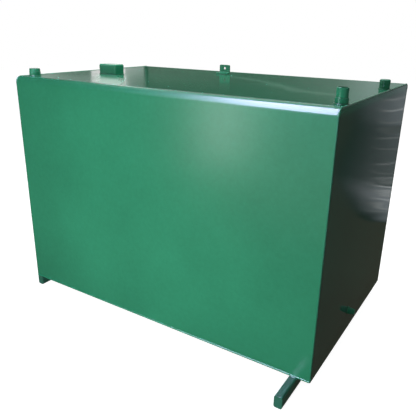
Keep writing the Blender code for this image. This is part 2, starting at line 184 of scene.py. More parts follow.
# Cards that only reflections see. A stop is an angle round to the left from straight behind
# the tank, the card's lowest and highest point in degrees above level, and its glow. A card
# about the camera is drawn from the camera's mirror image in the roof.
cardSpecs = [
    {"name": "darkWall", "about": "tank", "far": 13.0, "stops": [
        (-180, -5, 62, (0.016, 0.016, 0.016)), (180, -5, 62, (0.016, 0.016, 0.016))]},
    {"name": "leftWall", "about": "camera", "far": 10.5, "stops": [
        (66, 4.6, 9, (0.75, 0.77, 0.76)), (50.5, 4.7, 9, (0.60, 0.61, 0.60)),
        (48.5, 4.9, 9, (0.43, 0.44, 0.43)), (45.6, 4.9, 9, (0.31, 0.32, 0.32))]},
    {"name": "doorSky", "about": "camera", "far": 10.4, "stops": [
        (45.5, 9, 40, (3.0, 3.0, 3.0)), (42.1, 9, 40, (3.0, 3.0, 3.0))]},
    {"name": "doorway", "about": "camera", "far": 10.5, "stops": [
        (45.6, 1, 40, (0.88, 0.80, 0.83)), (41.9, 1, 40, (1.20, 1.07, 1.12))]},
    {"name": "doorJamb", "about": "camera", "far": 10.5, "stops": [
        (41.9, 4.8, 14, (0.25, 0.25, 0.25)), (39.6, 4.8, 14, (0.14, 0.14, 0.14))]},
    {"name": "doorStep", "about": "camera", "far": 10.4, "stops": [
        (41.9, 1, 4.75, (0.55, 0.56, 0.56)), (39.8, 1, 4.75, (0.42, 0.43, 0.43))]},
    {"name": "lowWall", "about": "camera", "far": 10.5, "stops": [
        (39.3, 1, 6, (0.100, 0.095, 0.090)), (31.0, 1, 6, (0.085, 0.080, 0.075)),
        (29.5, 1, 6, (0.060, 0.060, 0.055)), (27.4, 1, 6.3, (0.062, 0.062, 0.058)),
        (23.0, 1, 6.9, (0.085, 0.082, 0.082)), (18.0, 1, 7.6, (0.15, 0.15, 0.15)),
        (14.4, 1, 7.6, (0.31, 0.33, 0.34)), (12.0, 1, 8.0, (0.28, 0.31, 0.31)),
        (6.0, 1, 9.0, (0.28, 0.31, 0.31))]},
    {"name": "highWall", "about": "camera", "far": 10.6, "stops": [
        (39.0, 11, 42, (1.1, 1.1, 1.1)), (5.0, 11, 42, (1.1, 1.1, 1.1))]},
    {"name": "rightWall", "about": "tank", "far": 10.0, "stops": [
        (15.0, -6.5, 12, (0.016, 0.016, 0.016)), (12.0, -6.5, 12, (0.21, 0.22, 0.24)),
        (4.0, -6.5, 12, (0.43, 0.46, 0.50)), (-8.0, -6.5, 12, (0.40, 0.43, 0.47)),
        (-14.5, -6.5, 12, (0.33, 0.37, 0.40)), (-17.5, -6.5, 12, (0.13, 0.15, 0.16)),
        (-20.0, -6.5, 12, (0.08, 0.10, 0.10)), (-24.0, -6.5, 12, (0.03, 0.04, 0.035))]},
    {"name": "rightWallTop", "about": "tank", "far": 9.9, "stops": [
        (0.0, -3.0, 16, (0.8, 0.85, 0.90)), (-24.0, -3.0, 16, (0.8, 0.85, 0.90))]},
    {"name": "frontWindow", "about": "tank", "far": 4.2, "stops": [
        (154.5, -18.5, 14, (5.6, 5.6, 5.6)), (162.5, -18.5, 14, (5.6, 5.6, 5.6))]},
    {"name": "highWindow", "about": "tank", "far": 5.0, "stops": [
        (148, 12, 32, (7.0, 7.0, 7.0)), (174, 12, 32, (7.0, 7.0, 7.0))]},
]

# Pale slats that the right end plate mirrors, drawn from the camera's mirror image in it. A
# row says how many degrees a slat lies below level at its far and near end, its height in
# degrees, and its glow. The turns are where the slats begin, slope, level out and fade.
slatSpec = {
    "far": 4.1, "farEnd": -9.0, "turn": -10.5, "full": -11.7, "nearEnd": -13.1,
    "tint": (1.0, 1.04, 1.07), "last": 0.20,
    "rows": [(6.30, 6.95, 0.26, 0.52), (7.35, 7.92, 0.30, 0.70), (8.60, 9.10, 0.28, 0.32),
             (9.75, 10.05, 0.30, 0.14), (10.8, 11.0, 0.30, 0.28), (11.8, 12.0, 0.22, 0.26),
             (13.3, 13.9, 0.20, 0.42), (14.4, 14.6, 0.18, 0.26), (15.3, 15.5, 0.20, 0.34),
             (16.25, 16.05, 0.24, 0.80), (16.8, 16.9, 0.22, 0.55), (17.9, 17.5, 0.20, 0.75),
             (18.5, 18.3, 0.26, 0.45), (19.1, 19.0, 0.20, 0.30)],
}

# The lights over the front edge, on an arch along the tank: its radius about that edge, the
# angles in degrees above level where it begins and ends, and its glow. A stop is a place along
# X and how much of the glow is left there.
archSpec = {
    "name": "ceilingArch", "radius": 4.0, "from": 5, "to": 97, "glow": (23.4, 20.0, 33.6),
    "stops": [(-3.4, 0.0), (-2.4, 0.06), (-2.05, 0.43), (-1.7, 0.86), (-1.4, 1.0), (-0.5, 0.94),
              (-0.05, 0.80), (0.5, 0.0)]}

# A card over the roof's front edge, and a level lid from its top towards the back. They soften
# what the roof mirrors of the arch in views from behind and from above. A stop is a place along
# X, how high above the roof the card begins there, and its glow. It begins higher in front of
# the two front fittings, which mirror what lies beyond.
shadeSpec = {
    "name": "roofShade", "back": 0.036, "top": 1.6, "tint": (0.90, 1.03, 1.10),
    "lidFrom": 0.20, "lidTo": 1.5, "lidGlow": 1.0,  # the lid, back from the front face
    "stops": [(-2.2, 0.02, 0.8), (-1.6, 0.02, 1.3), (-1.02, 0.02, 1.7), (-0.98, 0.05, 1.7),
              (-0.76, 0.05, 1.7), (-0.72, 0.02, 1.7), (-0.4, 0.02, 1.4), (0.1, 0.02, 0.5),
              (0.67, 0.02, 0.3), (0.70, 0.05, 0.3), (0.90, 0.05, 0.3), (0.93, 0.02, 0.3),
              (2.2, 0.02, 0.3)]}

# Level cards on the ground. A stop is a place along Y, where along X the glow is full and
# where it has gone, and the glow.
groundSpecs = [
    {"name": "darkGround", "height": 0.001, "from": -14.0, "stops": [
        (-14.0, 14.0, 14.1, (0.060, 0.036, 0.030)), (0.2, 14.0, 14.1, (0.060, 0.038, 0.030)),
        (0.8, 14.0, 14.1, (0.064, 0.054, 0.041)), (14.0, 14.0, 14.1, (0.058, 0.052, 0.040))]},
    {"name": "paleGround", "height": 0.002, "from": -0.5, "stops": [
        (1.86, 1.12, 1.35, (0.07, 0.07, 0.07)), (1.97, 1.15, 1.40, (0.16, 0.17, 0.19)),
        (2.08, 1.20, 1.50, (0.24, 0.26, 0.28)), (2.30, 1.26, 1.60, (0.29, 0.31, 0.34)),
        (2.55, 1.34, 1.74, (0.38, 0.40, 0.44)), (2.90, 1.46, 1.90, (0.24, 0.26, 0.28)),
        (3.10, 1.50, 2.00, (0.14, 0.15, 0.16)), (4.00, 1.62, 2.25, (0.14, 0.15, 0.16)),
        (6.00, 1.90, 2.70, (0.17, 0.18, 0.20)),
        (7.00, 2.10, 3.00, (0.26, 0.28, 0.31)), (12.0, 3.20, 4.60, (0.26, 0.29, 0.32))]},
]


def newMaterial(name):
    material = bpy.data.materials.new(name)
    material.use_nodes = True
    return material, Graph(material.node_tree), material.node_tree.nodes["Principled BSDF"]


def linkObject(name, mesh):
    obj = bpy.data.objects.new(name, mesh)
    bpy.context.scene.collection.objects.link(obj)
    return obj


def newMesh(name, verts, edges, faces):
    mesh = bpy.data.meshes.new(name)
    mesh.from_pydata([tuple(vert) for vert in verts], edges, faces)
    mesh.update()
    return mesh


def addFloor(spec):
    half = spec["floorSize"] / 2
    corners = [(-half, -half, 0), (half, -half, 0), (half, half, 0), (-half, half, 0)]
    floor = linkObject("floor", newMesh("floor", corners, [], [(0, 1, 2, 3)]))
    material, graph, shader = newMaterial("paleFloor")
    shader.inputs["Base Color"].default_value = spec["floorColour"]
    shader.inputs["Roughness"].default_value = spec["floorRough"]
    shader.inputs["Specular IOR Level"].default_value = 0.0
    shader.inputs["Emission Strength"].default_value = spec["floorWhite"]
    white = graph.mixColour(lookedAt(graph), (0, 0, 0, 1), (1, 1, 1, 1))
    graph.feed(white, shader, "Emission Color")
    floor.data.materials.append(material)


def lookedAt(graph):  # 1 on camera, glossy and transmission rays
    wanted = ("Is Camera Ray", "Is Glossy Ray", "Is Transmission Ray")
    camera, glossy, through = (graph.add("ShaderNodeLightPath", None, None, name) for name in wanted)
    return camera + glossy + through


def addWorld(spec):
    world = bpy.data.worlds.new("studio")
    world.use_nodes = True
    graph = Graph(world.node_tree)
    gain = spec["backgroundLevel"] - spec["worldLevel"]
    background = world.node_tree.nodes["Background"]
    background.inputs["Color"].default_value = (1, 1, 1, 1)
    graph.feed(lookedAt(graph) * gain + spec["worldLevel"], background, "Strength")
    bpy.context.scene.world = world
    bpy.context.scene.view_settings.view_transform = "Standard"


def aimAt(angle, rise, far):  # a place round the tank; angle 0 is straight in front of it
    turn, tilt = math.radians(angle), math.radians(rise)
    away = Vector((-math.sin(turn) * math.cos(tilt), -math.cos(turn) * math.cos(tilt),
                   math.sin(tilt)))
    return bodyMiddle + away * far


def addLamp(spec):
    data = bpy.data.lights.new(spec["name"], "AREA")
    data.shape = "RECTANGLE"
    data.size, data.size_y = spec["size"]
    data.energy = spec["watts"]
    lamp = bpy.data.objects.new(spec["name"], data)
    bpy.context.scene.collection.objects.link(lamp)
    lamp.visible_camera = False
    lamp.visible_glossy = False
    lamp.location = aimAt(spec["angle"], spec["rise"], spec["far"])
    lamp.rotation_euler = (bodyMiddle - lamp.location).to_track_quat("-Z", "Y").to_euler()


def addWall(spec):
    centre = Vector((bodyMiddle.x, bodyMiddle.y, roofTop))
    if spec["about"] == "camera":
        centre = bpy.context.scene.camera.location.copy()
        centre.z = 2 * roofTop - centre.z
    elif spec["about"] == "endPlate":  # the slats
        centre = bpy.context.scene.camera.location.copy()
        centre.x = 2 * bodyHigh.x - centre.x
    verts = []
    glows = []
    for angle, low, high, glow in finerStops(spec["stops"]):
        turn = math.radians(angle)
        away = Vector((-math.sin(turn), math.cos(turn), 0)) * spec["far"]
        for rise in (low, high):
            up = spec["far"] * math.tan(math.radians(rise))
            verts.append(centre + away + Vector((0, 0, up)))
            glows.append(glow)
    finishStrip(spec["name"], verts, glows)


def finerStops(stops, most=6.0):  # splits a long turn, so that the card stays round
    finer = [stops[0]]
    for first, last in zip(stops, stops[1:]):
        count = max(1, math.ceil(abs(last[0] - first[0]) / most))
        for i in range(1, count + 1):
            part = i / count
            numbers = [a + (b - a) * part for a, b in zip(first[:3], last[:3])]
            finer.append((*numbers, tuple(Vector(first[3]).lerp(Vector(last[3]), part))))
    return finer


def addSlats(spec):
    for i, (farDrop, nearDrop, height, glow) in enumerate(spec["rows"]):
        bright = tuple(value * glow for value in spec["tint"])
        faded = tuple(value * spec["last"] for value in spec["tint"])
        stops = []
        for turn, drop, colour in ((spec["farEnd"], farDrop, bright), (spec["turn"], farDrop, bright),
                                   (spec["full"], nearDrop, bright), (spec["nearEnd"], nearDrop, faded)):
            stops.append((turn, -drop - height / 2, -drop + height / 2, colour))
        addWall({"name": f"slat{i}", "about": "endPlate", "far": spec["far"], "stops": stops})


def addArch(spec, steps=20):
    reach = spec["to"] - spec["from"]
    turns = [math.radians(spec["from"] + reach * i / steps) for i in range(steps + 1)]
    verts = []
    glows = []
    for x, share in spec["stops"]:
        for turn in turns:
            verts.append(Vector((x, bodyLow.y - spec["radius"] * math.cos(turn),
                                 roofTop + spec["radius"] * math.sin(turn))))
            glows.append(tuple(value * share for value in spec["glow"]))
    faces = []
    for i in range(len(spec["stops"]) - 1):
        for j in range(steps):
            first = i * (steps + 1) + j
            faces.append((first, first + 1, first + steps + 2, first + steps + 1))
    finishCard(spec["name"], verts, faces, glows)


def addShade(spec):
    verts = []
    glows = []
    for x, low, glow in spec["stops"]:
        for rise in (low, spec["top"]):
            verts.append((x, bodyLow.y + spec["back"], roofTop + rise))
            glows.append(tuple(value * glow for value in spec["tint"]))
    showBackOnly(finishStrip(spec["name"], verts, glows))
    verts = []
    for x in (spec["stops"][0][0], spec["stops"][-1][0]):
        for back in (spec["lidFrom"], spec["lidTo"]):
            verts.append((x, bodyLow.y + back, roofTop + spec["top"]))
    glow = tuple(value * spec["lidGlow"] for value in spec["tint"])
    finishStrip(spec["name"] + "Lid", verts, [glow] * len(verts))


def addGround(spec):
    verts = []
    glows = []
    for y, full, gone, glow in spec["stops"]:
        verts += [(x, y, spec["height"]) for x in (spec["from"], full, gone)]
        glows += [glow, glow, (0, 0, 0)]
    faces = []
    for i in range(0, len(verts) - 3, 3):
        faces += [(i, i + 1, i + 4, i + 3), (i + 1, i + 2, i + 5, i + 4)]
    finishCard(spec["name"], verts, faces, glows)


def finishStrip(name, verts, glows):  # verts and glows in pairs across the strip
    faces = [(i, i + 2, i + 3, i + 1) for i in range(0, len(verts) - 2, 2)]
    return finishCard(name, verts, faces, glows)


def showBackOnly(card):  # the card is clear from the tank's front
    graph = Graph(card.data.materials[0].node_tree)
    glowing = Wire(graph, graph.tree.nodes["Principled BSDF"].outputs[0])
    back = graph.add("ShaderNodeNewGeometry", None, None, "Backfacing")
    clear = graph.add("ShaderNodeBsdfTransparent")
    either = graph.add("ShaderNodeMixShader", None, {0: back, 1: clear, 2: glowing})
    graph.feed(either, graph.tree.nodes["Material Output"], "Surface")


def finishCard(name, verts, faces, glows):
    card = linkObject(name, newMesh(name, verts, [], faces))
    attribute = card.data.attributes.new("glow", "FLOAT_COLOR", "POINT")
    for item, glow in zip(attribute.data, glows):
        item.color = (*glow, 1)
    material, graph, shader = newMaterial(name)
    shader.inputs["Base Color"].default_value = (0, 0, 0, 1)
    shader.inputs["Roughness"].default_value = 1.0
    shader.inputs["Specular IOR Level"].default_value = 0.0
    shader.inputs["Emission Strength"].default_value = 1.0
    glow = graph.add("ShaderNodeAttribute", {"attribute_name": "glow"})
    graph.feed(glow, shader, "Emission Color")
    material.cycles.emission_sampling = "NONE"
    card.data.materials.append(material)
    card.visible_camera = False
    card.visible_diffuse = False
    card.visible_transmission = False
    card.visible_volume_scatter = False
    card.visible_shadow = False
    return card


addFloor(stageSpec)
addWorld(stageSpec)
for spec in lampSpecs:
    addLamp(spec)
for spec in cardSpecs:
    addWall(spec)
for spec in groundSpecs:
    addGround(spec)
addArch(archSpec)
addShade(shadeSpec)
addSlats(slatSpec)
print("stage, lamps and reflection cards set")


# Paint and steel

# A coat's colour, its roughness and how far that spreads, and the depth and scale of the
# sheet's long waves and of the coat's orange peel. The end plates' rolling marks fan out from a
# place in Y and Z. They begin near the plate's middle and are full near its back edge, which
# these two distances are from, and grow upwards over a stretch of Z. The end plates' colour is
# painted shade, the sheets' green darkened as if in shade. The rim is their top edge painted
# lighter and greener, painted light over that shade, with its stretch measured from the roof.
paintSpecs = {
    "frontPaint": {"colour": (0.0235, 0.196, 0.105), "rough": 0.25, "spread": 0.035,
                   "wave": 0.0006, "waveScale": 2.2, "peel": 0.00001, "peelScale": 420},
    "roofPaint": {"colour": (0.024, 0.200, 0.108), "rough": 0.12, "spread": 0.03,
                  "wave": 0.0006, "waveScale": 2.0, "peel": 0.000004, "peelScale": 420},
    # the end plates: the sheets' green darkened, painted shade
    "endPaintPaintedShade": {"colour": (0.023, 0.096, 0.067), "rough": 0.11, "spread": 0.03,
                 "ripple": 0.0005, "ripplePitch": 0.075, "fan": (-2.5, 1.45), "stray": 1.6,
                 "strayScale": 2.4, "backwards": (-0.05, -0.10), "upwards": (0.30, 0.50),
                 "rim": (0.024, 0.165, 0.102), "rimStretch": (-0.042, -0.020),
                 "rimScale": 30.0, "rimStray": 0.003,
                 "wave": 0.0004, "waveScale": 3.0, "peel": 0.000004, "peelScale": 420},
    # the fittings: the sheets' green painted lighter, painted light
    "fittingPaintPaintedLight": {"colour": (0.023, 0.222, 0.120), "rough": 0.255, "spread": 0.03,
                     "wave": 0.0002, "waveScale": 40, "peel": 0.000006, "peelScale": 500},
    # the box, lid and lug: the sheets' green painted much lighter, painted light
    "boxPaintPaintedLight": {"colour": (0.036, 0.345, 0.190), "rough": 0.255, "spread": 0.03,
                 "wave": 0.0002, "waveScale": 40, "peel": 0.000006, "peelScale": 500},
    # the bearers: a greyer green painted darker, painted shade
    "bearerPaintPaintedShade": {"colour": (0.026, 0.128, 0.087), "rough": 0.34, "spread": 0.08,
                    "wave": 0.0003, "waveScale": 30, "peel": 0.00005, "peelScale": 300},
    "seamPaint": {"colour": (0.012, 0.100, 0.055), "rough": 0.50, "spread": 0.10,
                  "wave": 0.0002, "waveScale": 90, "peel": 0.00004, "peelScale": 600},
    "weldPaint": {"colour": (0.020, 0.175, 0.092), "rough": 0.34, "spread": 0.08,
                  "wave": 0.0002, "waveScale": 90, "peel": 0.00003, "peelScale": 600},
}
# What all coats share: clouds and flecks that shade the colour, and the grain of the shine.
coatSpec = {"cloudScale": 1.7, "fleckScale": 55.0, "fleckShare": 0.3, "shade": (0.36, 0.64),
            "dark": 0.88, "pale": 1.08, "grainScale": 9.0}
# Where the roof's shine is rubbed duller: the way a hose is dragged to the fill box, and one
# long drag mark. Points are across the roof from its middle.
rubMarks = [
    {"points": [(-0.66, -0.10), (-0.20, -0.60)], "width": 0.085, "soft": 0.03,
     "wander": 1.2, "wanderScale": 6.0, "duller": 0.16},
    {"points": [(-0.04, 0.28), (0.30, 0.085), (0.59, -0.175), (0.78, -0.20)],
     "width": 0.038, "soft": 0.034, "wander": 1.2, "wanderScale": 6.0, "duller": 0.075},
]


def rubbed(graph, place, mark):  # 1 on the mark's track, 0 off it
    x, y, _ = graph.parts(place)
    wander = graph.noise(place, mark["wanderScale"], 2.0, 0.5) - 0.5
    wander = wander * (mark["width"] * mark["wander"])
    whole = None
    for first, last in zip(mark["points"], mark["points"][1:]):
        start = Vector(first) + bodyMiddle.xy
        run = Vector(last) - Vector(first)
        way = run.normalized()
        along = (x - start.x) * way.x + (y - start.y) * way.y
        across = ((x - start.x) * way.y - (y - start.y) * way.x + wander).size()
        part = 1 - graph.ramp(across, mark["width"] - mark["soft"], mark["width"] + mark["soft"])
        part = part * graph.ramp(along, -mark["soft"], 0)
        part = part * (1 - graph.ramp(along, run.length, run.length + mark["soft"]))
        whole = part if whole is None else whole.calculate("MAXIMUM", whole, part)
    return whole


def makePaint(name, spec):
    material, graph, shader = newMaterial(name)
    place = graph.add("ShaderNodeTexCoord", None, None, 3)
    cloud = graph.noise(place, coatSpec["cloudScale"], 3.0, 0.55)
    fleck = graph.noise(place, coatSpec["fleckScale"], 3.0, 0.6)
    shade = cloud * (1 - coatSpec["fleckShare"]) + fleck * coatSpec["fleckShare"]
    dark, pale = ((*(value * coatSpec[key] for value in spec["colour"]), 1) for key in ("dark", "pale"))
    colour = graph.mixColour(graph.ramp(shade, *coatSpec["shade"]), dark, pale)
    # the rim: the end plates' top edge painted lighter over their painted shade
    if "rim" in spec:
        _, _, z = graph.parts(place)
        stray = graph.noise(place, spec["rimScale"], 2.0, 0.5) * spec["rimStray"]
        edge = graph.ramp(z + stray, *(roofTop + value for value in spec["rimStretch"]))
        colour = graph.mixColour(edge, colour, (*spec["rim"], 1))
    graph.feed(colour, shader, "Base Color")
    grain = graph.noise(place, coatSpec["grainScale"], 4.0, 0.6)
    rough = grain * spec["spread"] + (spec["rough"] - spec["spread"] / 2)
    if name == "roofPaint":
        for mark in rubMarks:
            rough = rough + rubbed(graph, place, mark) * mark["duller"]
    graph.feed(rough, shader, "Roughness")
    normal = graph.bump(graph.noise(place, spec["waveScale"], 1.0, 0.4), spec["wave"])
    if "ripple" in spec:
        normal = graph.bump(rippleHeight(graph, place, spec), spec["ripple"], normal)
    normal = graph.bump(graph.noise(place, spec["peelScale"], 1.0, 0.5), spec["peel"], normal)
    graph.feed(normal, shader, "Normal")
    return material


def rippleHeight(graph, place, spec):  # the marks die out towards the front and the foot
    _, y, z = graph.parts(place)
    fanY, fanZ = spec["fan"]
    level = (fanZ - z) / (y - fanY) * (bodyHigh.y - fanY)
    stray = graph.noise(place, spec["strayScale"], 1.0, 0.4) * spec["stray"]
    turn = level * (2 * math.pi / spec["ripplePitch"]) + stray
    begins, full = spec["backwards"]
    back = graph.ramp(y, bodyMiddle.y + begins, bodyHigh.y + full)
    return turn.sine() * back * graph.ramp(z, *spec["upwards"])


# Rolled sheet inside the tank: blue-grey scale, bare where it is worn along X, and rust in
# patches and specks. A pair is where the noise begins to show and where it shows in full.
steelSpec = {
    "scale": (0.085, 0.090, 0.100, 1), "bare": (0.16, 0.16, 0.155, 1), "rust": (0.115, 0.045, 0.018, 1),
    "patchScale": 5.0, "patches": (0.52, 0.66), "patchShare": 0.8,
    "speckScale": 130.0, "specks": (0.58, 0.66), "speckShare": 0.5,
    "wearStretch": (3.0, 26.0, 26.0), "wearScale": 4.0, "wear": (0.45, 0.62),
    "rough": 0.36, "rustRough": 0.40, "pitScale": 160.0, "pitBase": 0.2, "pitDepth": 0.00015,
}


def makeSteel(name, spec):
    material, graph, shader = newMaterial(name)
    place = graph.add("ShaderNodeTexCoord", None, None, 3)
    patch = graph.ramp(graph.noise(place, spec["patchScale"], 5.0, 0.65), *spec["patches"])
    speck = graph.ramp(graph.noise(place, spec["speckScale"], 3.0, 0.6), *spec["specks"])
    rolled = graph.stretch(place, spec["wearStretch"])
    worn = graph.ramp(graph.noise(rolled, spec["wearScale"], 3.0, 0.6), *spec["wear"])
    colour = graph.mixColour(worn, spec["scale"], spec["bare"])
    rusty = patch.calculate("MAXIMUM", patch * spec["patchShare"], speck * spec["speckShare"])
    graph.feed(graph.mixColour(rusty, colour, spec["rust"]), shader, "Base Color")
    graph.feed(1 - rusty, shader, "Metallic")
    graph.feed(rusty * spec["rustRough"] + spec["rough"], shader, "Roughness")
    pits = graph.noise(place, spec["pitScale"], 3.0, 0.6) * (rusty + spec["pitBase"])
    graph.feed(graph.bump(pits, spec["pitDepth"]), shader, "Normal")
    return material


paints = {name: makePaint(name, spec) for name, spec in paintSpecs.items()}
paints["millSteel"] = makeSteel("millSteel", steelSpec)
# The end plates and bearers take darker copies of the green, painted shade; the box, lid, lug and fittings
# take lighter ones, painted light.
finishes = {
    "frontPaint": ["front_sheet", "back_sheet", "floor_plate"],
    "roofPaint": ["roof_sheet"],
    "endPaintPaintedShade": ["left_end_plate", "right_end_plate"],
    "boxPaintPaintedLight": ["fill_box", "fill_box_lid", "lifting_lug"],
    "bearerPaintPaintedShade": [name for name in nodes if "bearer" in name],
    "millSteel": [name for name in nodes if name.startswith("inner_") or "packer" in name] + ["fill_neck"],
}


def dressNode(name, material):
    obj = nodes[name]
    obj.data.materials.clear()
    obj.data.materials.append(material)


for finish, names in finishes.items():
    for name in names:
        dressNode(name, paints[finish])
for name in nodes:
    if not any(name in names for names in finishes.values()):
        dressNode(name, paints["fittingPaintPaintedLight"])
print("finishes on the frame's nodes")


# Welds, laid along paths by one node tree

def endWeldPaths(spec):
    paths = []
    for x in (bodyLow.x + sheetSpec["sheet"], bodyHigh.x - sheetSpec["sheet"]):
        paths.append(([(x, y, z) for y, z in endOutline(spec["inset"])], False))
    return paths


def endOutline(inset, steps=10):  # from the foot of one long bend over the roof to the other
    radius = sheetSpec["bend"] - inset
    front, back, top = bodyLow.y + inset, bodyHigh.y - inset, roofTop - inset
    points = []
    for i in range(steps + 1):
        turn = math.radians(180 - 90 * i / steps)
        points.append((front + radius + radius * math.cos(turn), top - radius + radius * math.sin(turn)))
    for i in range(steps + 1):
        turn = math.radians(90 - 90 * i / steps)
        points.append((back - radius + radius * math.cos(turn), top - radius + radius * math.sin(turn)))
    return points


def uprightWeldPaths(spec):
    low, high = bodyLow.z + spec["above"], roofTop - sheetSpec["bend"] + spec["past"]
    paths = []
    for x in (bodyLow.x + spec["inset"], bodyHigh.x - spec["inset"]):
        for y in (bodyLow.y + spec["inset"], bodyHigh.y - spec["inset"]):
            paths.append(([(x, y, low), (x, y, high)], False))
    return paths


def longPath(y, z, margin):
    return ([(bodyLow.x + margin, y, z), (bodyHigh.x - margin, y, z)], False)


def roofSeamPaths(spec):
    reach = sheetSpec["bend"] + sheetSpec["flange"]
    height = roofTop - spec["inset"]
    return [longPath(y, height, spec["margin"]) for y in (bodyLow.y + reach, bodyHigh.y - reach)]


def footSeamPaths(spec):
    height = bodyLow.z + sheetSpec["sheet"] + spec["above"]
    return [longPath(y, height, spec["margin"])
            for y in (bodyLow.y - spec["proud"], bodyHigh.y + spec["proud"])]


def fittingPaths(spec):
    axisX, axisY, axisZ = Vector((1, 0, 0)), Vector((0, 1, 0)), Vector((0, 0, 1))
    paths = []
    for name in ("front_left_socket", "front_right_socket", "rear_right_socket"):
        low, high = (Vector(corner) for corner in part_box(name))
        middle = Vector(((low.x + high.x) / 2, (low.y + high.y) / 2, roofTop + spec["above"]))
        paths.append(ringPath(middle, (high.x - low.x) / 2 + spec["proud"], axisX, axisY))
    low, high = (Vector(corner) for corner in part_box("side_outlet_socket"))
    middle = Vector((bodyHigh.x + spec["proud"], (low.y + high.y) / 2, (low.z + high.z) / 2))
    paths.append(ringPath(middle, (high.y - low.y) / 2 + spec["proud"], axisY, axisZ))
    for name, corner, above in spec["footprints"]:
        low, high = (Vector(point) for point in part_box(name))
        outline = roundedBox(low.xy, high.xy, corner, corner)
        paths.append(([(x, y, roofTop + above) for x, y in outline], True))
    return paths


def ringPath(middle, radius, across, up, steps=40):
    points = []
    for i in range(steps):
        turn = 2 * math.pi * i / steps
        points.append(middle + across * radius * math.cos(turn) + up * radius * math.sin(turn))
    return (points, True)


def roundedBox(low, high, corner, radius, steps=3):  # arcs about the points one corner in
    points = []
    places = ((high[0], high[1]), (low[0], high[1]), (low[0], low[1]), (high[0], low[1]))
    for quarter, (x, y) in enumerate(places):
        insideX = x + (corner if x == low[0] else -corner)
        insideY = y + (corner if y == low[1] else -corner)
        for i in range(steps + 1):
            turn = math.radians(90 * quarter + 90 / steps * i)
            points.append((insideX + radius * math.cos(turn), insideY + radius * math.sin(turn)))
    return points


def bearerPaths(spec):  # short runs under the floor beside each bearer, and one across in front
    paths = []
    for name in ("left_bearer", "right_bearer"):
        low, high = (Vector(point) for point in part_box(name))
        height = high.z - spec["below"]
        first, last = bodyLow.y + spec["first"], bodyHigh.y - spec["last"]
        for x in (low.x - spec["proud"], high.x + spec["proud"]):
            for i in range(spec["count"]):
                y = first + (last - first) * i / (spec["count"] - 1)
                paths.append(([(x, y, height), (x, y + spec["run"], height)], False))
    low, high = (Vector(point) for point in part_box("right_bearer"))
    left, right = low.x + spec["margin"], high.x - spec["margin"]
    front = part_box("floor_plate")[0][1] - spec["frontProud"]
    height = high.z + spec["proud"]
    paths.append(([(left, front, height), (right, front, height)], False))
    return paths


def capPaths(spec):  # the dressed joint round each bearer's end caps
    paths = []
    for name in ("left_bearer", "right_bearer"):
        low, high = (Vector(point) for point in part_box(name))
        foot = low.z + spec["above"]  # keeps the bead off the ground
        radius = spec["corner"] - spec["inset"]
        outline = roundedBox((low.x, foot), (high.x, high.z), spec["corner"], radius)
        for y in (low.y - spec["proud"], high.y + spec["proud"]):
            paths.append(([(x, y, z) for x, z in outline], True))
    return paths


# Each begins with where the middle of its beads lies: in from an edge, above or below the face
# that they follow, or proud of it. A footprint is a node, its corner's radius and how far above
# the roof its bead lies.
weldSpecs = {
    "endPlateWelds": {
        "paths": endWeldPaths, "inset": 0.0030, "paint": "weldPaint",
        "radius": 0.0048, "pitch": 0.0062, "ripple": 0.10, "wander": 0.16, "seed": 3},
    "uprightWelds": {
        "paths": uprightWeldPaths, "inset": 0.0022, "above": 0.004, "past": 0.002, "paint": "seamPaint",
        "radius": 0.0030, "pitch": 0.0060, "ripple": 0.08, "wander": 0.14, "seed": 17},
    "roofSeamWelds": {
        "paths": roofSeamPaths, "inset": 0.0022, "margin": 0.004, "paint": "seamPaint",
        "radius": 0.0028, "pitch": 0.0060, "ripple": 0.08, "wander": 0.34, "seed": 11},
    # the foot beads take the fittings' lighter green, painted highlight
    "footSeamWelds": {
        "paths": footSeamPaths, "above": 0.0012, "proud": 0.0010, "margin": 0.004, "paint": "fittingPaintPaintedLight",
        "radius": 0.0033, "pitch": 0.0070, "ripple": 0.16, "wander": 0.55, "seed": 5},
    "fittingWelds": {
        "paths": fittingPaths, "above": 0.0010, "proud": 0.0008, "paint": "weldPaint",
        "footprints": [("lifting_lug", 0.003, 0.0012), ("fill_box", 0.008, 0.0006)],
        "radius": 0.0032, "pitch": 0.0050, "ripple": 0.14, "wander": 0.20, "seed": 8},
    "bearerWelds": {
        "paths": bearerPaths, "below": 0.0006, "proud": 0.0004, "first": 0.03, "last": 0.09,
        "count": 5, "run": 0.06, "frontProud": 0.0010, "margin": 0.008, "paint": "bearerPaintPaintedShade",
        "radius": 0.0036, "pitch": 0.0060, "ripple": 0.14, "wander": 0.25, "seed": 21},
    "bearerCapWelds": {
        "paths": capPaths, "above": 0.0012, "corner": 0.0088, "inset": 0.0008, "proud": 0.0002,
        "paint": "bearerPaintPaintedShade",
        "radius": 0.0015, "pitch": 0.0040, "ripple": 0.08, "wander": 0.20, "seed": 13},
}
beadSpec = {  # what all beads share; the crest's place is a share of a ripple
    "stepsPerRipple": 4, "sides": 8, "crest": 0.35, "steep": 1.6, "wanderScale": 38.0}


def startTree(name, labels, geometry=None):  # an empty tree with its named inputs
    tree = bpy.data.node_groups.new(name, "GeometryNodeTree")
    if geometry:
        tree.interface.new_socket(geometry, in_out="INPUT", socket_type="NodeSocketGeometry")
    for label, kind in labels:
        tree.interface.new_socket(label, in_out="INPUT", socket_type="NodeSocket" + kind)
    tree.interface.new_socket("Mesh", in_out="OUTPUT", socket_type="NodeSocketGeometry")
    graph = Graph(tree)
    given = graph.add("NodeGroupInput")
    count = len(labels) + (1 if geometry else 0)
    return graph, [Wire(graph, socket) for socket in given.socket.node.outputs[:count]]


def endTree(graph, mesh, paint):
    mesh = graph.add("GeometryNodeSetShadeSmooth", None, {"Geometry": mesh})
    mesh = graph.add("GeometryNodeRealizeInstances", None, {"Geometry": mesh})
    mesh = graph.add("GeometryNodeSetMaterial", None, {"Geometry": mesh, "Material": paint})
    graph.feed(mesh, graph.tree.nodes.new("NodeGroupOutput"), "Mesh")
    return graph.tree


